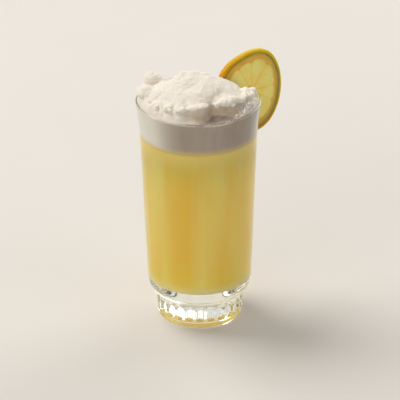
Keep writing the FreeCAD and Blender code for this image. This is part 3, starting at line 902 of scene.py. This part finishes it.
def foam_relief(points):
    """How far the skin stands out at each point, and how free it is to: not at all where the
    foam is pressed to the wall."""
    radius = np.hypot(points[:, 0], points[:, 1])
    over_edge = points[:, 2] - FOAM_EDGE
    calm = CALM + (1 - CALM) * soft_step(*CALM_BAND, over_edge)
    gap = inside_radius(np.minimum(points[:, 2], LIP_HEIGHT)) - radius
    loose = soft_step(*LOOSE_GAP, gap) * soft_step(*LOOSE_BAND, over_edge)
    free = np.maximum(soft_step(*SKIN_BAND, over_edge), loose)
    # The torn rim along the front of the heap is rougher than the rest.
    end = round_table(HEAP_REACH, np.arctan2(points[:, 1], points[:, 0]))
    rim = np.exp(-(((radius - end + RIM_INSET) / RIM_WIDTH) ** 2))
    rim = rim * soft_step(*FRONT_BAND, points[:, 1])
    drift = np.stack([ripple(points, 6.0, seed) for seed in (11, 12, 13)], axis=1)
    warped = points + WARP * drift
    # Each kind of relief, with its depth: folds and swells first, then curds and grain.
    broad = [
        (0.3 - np.abs(ripple(warped, 11.0, 1)), 0.8),
        (0.3 - np.abs(ripple(warped, 5.5, 2)), 0.55 + 0.3 * rim),
        (ripple(points, 7.0, 21), 1.5 * (1 - calm)),
    ]
    fine = [
        (ripple(points, 3.4, 9), 0.2 + 0.45 * rim),
        (puffs(warped, 4.2, 7) - 0.6, 0.4 + 0.2 * rim),
        (puffs(points, 1.9, 3) - 0.6, 0.2 + 0.3 * rim),
        (puffs(points, 1.0, 4) - 0.6, 0.13 + 0.2 * rim),
        (ripple(points, 0.6, 6), 0.05),
    ]
    push = sum(shape * depth for shape, depth in broad)
    return push + calm * sum(shape * depth for shape, depth in fine), free


def room_for_foam(points, radius):
    """Share of its distance from the axis that each point keeps: foam close to the wall lies
    against it, and over the lip it stays inside the lip's outer edge."""
    height = points[:, 2]
    over_lip = inside_radius(LIP_HEIGHT) + (height - LIP_HEIGHT + LIP_MARGIN) * LIP_SLOPE
    limit = np.where(height < LIP_HEIGHT - LIP_MARGIN,
                     inside_radius(height) + WET, np.minimum(over_lip, LIP_RADIUS - LIP_MARGIN))
    on_wall = (height < WALL_BAND[1]) & (radius > limit - CLING)
    moved = ((radius > limit) | on_wall) & (height > WALL_BAND[0])
    return np.where(moved, limit / radius, 1)


def roughen_foam(piece):
    """Push the heap out into puffs and fine curds, and note where painted shade goes: in its
    creases, its low hollows and on the front right.
    """
    points = read_points(piece, "co") / MM
    push, free = foam_relief(points)
    points = points + read_points(piece, "normal") * (push * free)[:, None]
    radius = np.maximum(np.hypot(points[:, 0], points[:, 1]), 1e-6)
    points[:, :2] *= room_for_foam(points, radius)[:, None]
    piece.data.vertices.foreach_set("co", (points * MM).ravel())
    piece.data.update()
    in_glass = soft_step(*GLASS_BAND, points[:, 2] - FOAM_EDGE)
    low_shade = soft_step(*LOW_SHADE_BAND, points[:, 2] - FOAM_EDGE)
    facing = (points[:, :2] @ SHADED_SIDE) / np.maximum(radius, 1)
    # Painted shade: creases and low hollows on the front right take a darker cream.
    shaded_creases = soft_step(*CREASE_SHADE_DEPTH, push) * free
    hollow_shade = HOLLOW_SHADE_SHARE * low_shade * soft_step(*HOLLOW_SHADE_FACING, facing) * (1 - in_glass)
    # Painted shade: foam down in the glass and low on the front right takes a greyer colour.
    wet = np.maximum(in_glass, LOW_SHADE_SHARE * low_shade) * soft_step(*SHADE_FACING, facing)
    write_mask(piece, "crease_shade", np.maximum(shaded_creases, hollow_shade))
    write_mask(piece, "wet", wet)


def make_foam():
    """Whipped foam in one skin: the heap over the glass, the band below it down the wall, and
    the lumps and crumbs that stand out."""
    across, along, out = heap_grid(FOAM_CELLS, inside_radius(FOAM_EDGE) + WET)
    drop = wall_drop(across, along)
    rolled_edge = np.sqrt(np.clip(1 - out**EDGE_SQUARENESS, 0, 1))
    height = FOAM_EDGE + drop + (foam_rise(across, along) - drop) * rolled_edge
    top = np.column_stack([across, along, height])
    border = square_border(FOAM_CELLS)
    columns = len(border)
    rows = foam_band(top[border])
    points = np.vstack([top] + rows)
    faces = grid_faces(FOAM_CELLS + 1, FOAM_CELLS + 1, False).tolist()
    for i in range(columns):
        after = (i + 1) % columns
        faces.append((border[i], border[after], len(top) + after, len(top) + i))
    faces += (grid_faces(len(rows), columns, True) + len(top)).tolist()
    faces.append([len(points) - columns + i for i in range(columns)])
    for lump in list(FREE_LUMPS.values()) + crumbs():
        points, faces = add_shape(points, faces, *free_lump(*lump))
    piece = make_piece("whipped_foam", points, faces, "foam")
    make_even(piece, FOAM_GRAIN)
    roughen_foam(piece)
    piece.data.materials.append(whipped_foam())
    return piece


def make_bubbles(foam):
    """Large bubbles that lie half sunk in the foam, low at the front right."""
    skin = read_points(foam, "co") / MM
    skin = skin[skin[:, 2] > FOAM_EDGE + BUBBLE_LEVEL]
    scatter = random.Random(23)
    points, faces = np.zeros((0, 3)), []
    for _ in range(BUBBLES):
        turn = math.radians(scatter.gauss(*BUBBLE_BEARING))
        distance = scatter.uniform(*BUBBLE_DISTANCE)
        size = BUBBLE_SIZE[0] + (BUBBLE_SIZE[1] - BUBBLE_SIZE[0]) * scatter.random() ** 2
        distance = min(distance, BUBBLE_DISTANCE[1] - size)
        place = np.array([distance * math.cos(turn), distance * math.sin(turn)])
        near = skin[np.hypot(*(skin[:, :2] - place).T) < BUBBLE_NEAR]
        if len(near) == 0:
            continue
        middle = (*place, near[:, 2].min() + BUBBLE_RISE * size)
        bubble = free_lump(middle, (size, size, size), 0.0, rows=12, spokes=24)
        points, faces = add_shape(points, faces, *bubble)
    piece = make_piece("foam_bubbles", points, faces, None)
    piece.data.materials.append(foam_bubble())


# ---------------- the lemon slice

SLICE_RADIUS = 25.8
SLICE_THICK = 4.5
SLICE_FACING = math.radians(45.0)   # bearing of the slice's plane
SLICE_LEAN = math.radians(8.0)
SLICE_CENTRE = (SLICE_LOW + SLICE_HIGH) / 2
SLICE_SPOKES = 360
# The slice isn't quite round: waves once round, and their share of its radius as a cosine and
# as a sine.
SLICE_WAVES = ((2, 0.030, -0.021), (3, -0.015, 0.030))
# Where it is fuller or flatter: angle from its outer end, width in degrees and share.
SLICE_BENDS = ((48.0, 22.0, 0.032), (104.0, 24.0, -0.036))

ZEST = 2.5
ZEST_ROUND = 1.5          # how far the skin's edge is rounded on each side of the slice
ZEST_LAP = 0.05           # how far the zest reaches into the flesh
ZEST_STEP = 0.02          # how far its inner edge lies under the flesh's faces
RIPEST = 0.4              # radians from the slice's outer end to where the zest is most yellow
RIND = 6.5                # zest and pith together

SEGMENTS = 9
SEGMENT_WAVES = ((3, 0.7, 0.07), (5, 2.0, 0.05))   # waves once round, their start, and radians
SEGMENT_CORNER = 1.8      # how far a segment's outer corners are rounded off
MEMBRANE_FADE = (0.24, 0.84)  # distances from its middle between which a membrane ends
PITH_FADE = (-0.7, 0.6)   # distances past a segment's outer end between which the pith starts
CORE_FADE = (1.8, 3.0)    # distances from the slice's middle between which its core ends
FLESH_RINGS = 84
FLESH_START = 0.07        # share of the way out at which the first ring of points lies
FLESH_SINK = 0.16
SAC_RISE = 0.26
SACS_ROUND = 60           # juice sacs side by side once round, at SAC_RADIUS
SAC_RADIUS = 14
SAC_LENGTH = 5.0


def put_in_place(points):
    """Points of the flat slice, moved to where it sits on the wall of the glass: X goes outwards,
    Y up and Z through the slice towards the viewer."""
    outwards = Vector((math.cos(SLICE_FACING), math.sin(SLICE_FACING), 0))
    upwards = Vector((0, 0, 1))
    turned = Matrix((outwards, upwards, outwards.cross(upwards))).transposed()
    placed = np.array(turned @ Matrix.Rotation(-SLICE_LEAN, 3, "X"))
    return points @ placed.T + SLICE_CENTRE


def slice_outline(turn):
    """The slice's radius over its mean one."""
    share = 1
    for waves, by_cosine, by_sine in SLICE_WAVES:
        share = share + by_cosine * np.cos(waves * turn) + by_sine * np.sin(waves * turn)
    for angle, width, more in SLICE_BENDS:
        off = (np.degrees(turn) - angle + 180) % 360 - 180
        share = share + more * np.exp(-((off / width) ** 2))
    return share


def slice_relief(radius, turn):
    """How much of each place is pith, and how much is membrane between two segments."""
    half = math.pi / SEGMENTS
    wobble = sum(size * np.sin(waves * turn + start) for waves, start, size in SEGMENT_WAVES)
    off_middle = np.abs((turn + wobble) % (2 * half) - half)
    to_wall = radius * np.sin(np.clip(half - off_middle, 0, math.pi / 2))
    rounded = SLICE_RADIUS - RIND - SEGMENT_CORNER * (off_middle / half) ** 4
    membrane = 1 - soft_step(*MEMBRANE_FADE, to_wall)
    rim = soft_step(*PITH_FADE, radius - rounded)
    core = 1 - soft_step(*CORE_FADE, radius)
    return np.maximum(rim, core), membrane * (1 - rim)


def juice_sacs(radius, turn):
    """Long sacs that lie towards the core: bright along their backs."""
    around = turn * SACS_ROUND / (2 * math.pi) * np.clip(radius / SAC_RADIUS, 0.5, None)
    return puffs(np.column_stack([around, radius / SAC_LENGTH, np.zeros_like(radius)]), 1.0, 8)


def make_flesh():
    """The cut flesh and its pith: two faces on which the sacs swell between the membranes."""
    steps = np.linspace(FLESH_START, 1, FLESH_RINGS)
    radius = np.repeat(steps * (SLICE_RADIUS - ZEST), SLICE_SPOKES)
    turn = np.tile(once_round(SLICE_SPOKES), FLESH_RINGS)
    pith, membrane = slice_relief(radius, turn)
    soft = 1 - np.maximum(pith, membrane)
    cut_faces, cut_sacs = [], []
    for side, shifted in ((1, 0.0), (-1, 2.0)):
        sacs = juice_sacs(radius, turn + shifted)
        depth = (FLESH_SINK - SAC_RISE * (sacs - 0.5)) * soft
        level = side * (SLICE_THICK / 2 - depth)
        cut_faces.append(round_points(radius * slice_outline(turn), turn, level))
        cut_sacs.append(sacs * soft)
    points = np.vstack(cut_faces)
    count = len(radius)
    faces = grid_faces(FLESH_RINGS, SLICE_SPOKES, True).tolist()
    faces += [[i + count for i in f][::-1] for f in faces]
    last = count - SLICE_SPOKES
    for i in range(SLICE_SPOKES):
        after = (i + 1) % SLICE_SPOKES
        faces.append((last + i, last + after, count + last + after, count + last + i))
    faces.append(list(range(SLICE_SPOKES))[::-1])
    faces.append([count + i for i in range(SLICE_SPOKES)])
    piece = make_piece("lemon_flesh", put_in_place(points), faces, "lemon_slice")
    write_mask(piece, "pith", np.tile(pith, 2))
    write_mask(piece, "membrane", np.tile(membrane, 2))
    write_mask(piece, "sacs", np.concatenate(cut_sacs))
    piece.data.materials.append(lemon_flesh())


def make_zest():
    """The ring of zest round the flesh, with both its outer edges rounded."""
    half = SLICE_THICK / 2
    inner = SLICE_RADIUS - ZEST - ZEST_LAP
    near, out = SLICE_RADIUS - ZEST_ROUND, SLICE_RADIUS
    low, high = -half + ZEST_ROUND, half - ZEST_ROUND
    inner_low, inner_high = (inner, -half + ZEST_STEP), (inner, half - ZEST_STEP)
    section = join_points(
        straight(inner_low, (near, -half), 3),
        arc((near, -half), (out, low), ZEST_ROUND, 1, 8),
        straight((out, low), (out, high), 6),
        arc((out, high), (near, half), ZEST_ROUND, 1, 8),
        straight((near, half), inner_high, 3),
        straight(inner_high, inner_low, 4),
    )[:-1]
    turn = once_round(SLICE_SPOKES)[:, None]
    radius = section[None, :, 0] * slice_outline(turn)
    points = round_points(radius, turn, section[None, :, 1])
    faces = grid_faces(SLICE_SPOKES + 1, len(section), True) % len(points)
    placed = put_in_place(points)
    piece = make_piece("lemon_zest", placed, faces.tolist(), "lemon_slice")
    around = np.arctan2(points[:, 1], points[:, 0])
    write_mask(piece, "ripeness", 0.5 + 0.5 * np.cos(around - RIPEST))
    piece.data.materials.append(lemon_zest())


# ---------------- floor, light and camera

# Lamp boxes: place in metres, width and height in metres, and watts.
LAMPS = {
    "soft_box": ((-0.75, 0.5, 1.55), (1.0, 1.0), 21.3),
    "back_panel": ((0.9, 1.1, 0.8), (1.2, 0.8), 9),
    "side_panel": ((1.25, -0.7, 1.0), (0.8, 0.8), 2.2),
    "front_panel": ((-0.8, -1.35, 0.75), (1.2, 1.2), 7.5),
}
LAMP_AIM = (0, 0, 0.09)   # metres
ROOM_GLOW = 0.15
CAMERA_RISE = math.radians(25.74)
CAMERA_ROLL = math.radians(-0.47)
CAMERA_DISTANCE = 1.8     # metres
CAMERA_SHIFT = (0.54, 3.84)   # to its right and up
CAMERA_LENS = 270.3


def make_stage():
    """A pale board under the glass, wide enough for every view."""
    reach = 4000
    corners = [(-reach, -reach, 0), (reach, -reach, 0), (reach, reach, 0), (-reach, reach, 0)]
    mesh = bpy.data.meshes.new("board")
    mesh.from_pydata((np.array(corners) * MM).tolist(), [], [(0, 1, 2, 3)])
    board = bpy.data.objects.new("board", mesh)
    bpy.context.scene.collection.objects.link(board)
    board.data.materials.append(studio_floor())


def make_lamps():
    """A large soft box high at the back left, a panel at the back right, a weak one at the front
    right and one at the front left, all turned to the middle of the glass."""
    for name, (place, size, watts) in LAMPS.items():
        light = bpy.data.lights.new(name, "AREA")
        light.shape = "RECTANGLE"
        light.size, light.size_y = size
        light.energy = watts
        light.color = paint("#FFFAF3")[:3]
        box = bpy.data.objects.new(name, light)
        box.location = place
        box.rotation_euler = (Vector(LAMP_AIM) - Vector(place)).to_track_quat("-Z", "Y").to_euler()
        bpy.context.scene.collection.objects.link(box)


def make_room():
    """A dim even glow from all round; a pale backdrop wherever the room itself is seen."""
    world = bpy.data.worlds.new("room")
    world.use_nodes = True
    bpy.context.scene.world = world
    tree = world.node_tree
    tree.nodes.clear()
    path = add(tree, "LightPath")
    seen = add(tree, "Math", {
        0: path.outputs["Is Camera Ray"], 1: path.outputs["Is Glossy Ray"],
    }, operation="MAXIMUM")
    seen = add(tree, "Math", {
        0: seen.outputs[0], 1: path.outputs["Is Transmission Ray"],
    }, operation="MAXIMUM")
    glow = add(tree, "Background", {"Color": paint("#FFFFFF"), "Strength": ROOM_GLOW})
    shown = add(tree, "Background", {"Color": paint("#E6E4E0"), "Strength": 1.0})
    mixed = add(tree, "MixShader", {
        0: seen.outputs[0], 1: glow.outputs[0], 2: shown.outputs[0],
    })
    add(tree, "OutputWorld", {"Surface": mixed.outputs[0]})


def make_camera():
    """Looking down a little on the glass from the front with a long lens."""
    back = Vector((0, -math.cos(CAMERA_RISE), math.sin(CAMERA_RISE)))
    aim = Vector((0, 0, LIP_HEIGHT / 2 * MM))
    camera = bpy.data.cameras.new("camera")
    camera.sensor_width = 36
    camera.lens = CAMERA_LENS
    camera.clip_start, camera.clip_end = 0.05, 50
    holder = bpy.data.objects.new("camera", camera)
    turned = (-back).to_track_quat("-Z", "Y").to_matrix().to_4x4()
    turned = turned @ Matrix.Rotation(CAMERA_ROLL, 4, "Z")
    moved = turned @ Vector((CAMERA_SHIFT[0] * MM, CAMERA_SHIFT[1] * MM, 0))
    holder.matrix_world = Matrix.Translation(aim + back * CAMERA_DISTANCE + moved) @ turned
    bpy.context.scene.collection.objects.link(holder)
    bpy.context.scene.camera = holder


# ---------------- the whole

make_glass()
make_drink()
make_bubbles(make_foam())
make_flesh()
make_zest()
make_stage()
make_lamps()
make_room()
make_camera()
bpy.context.scene.view_settings.view_transform = "Standard"
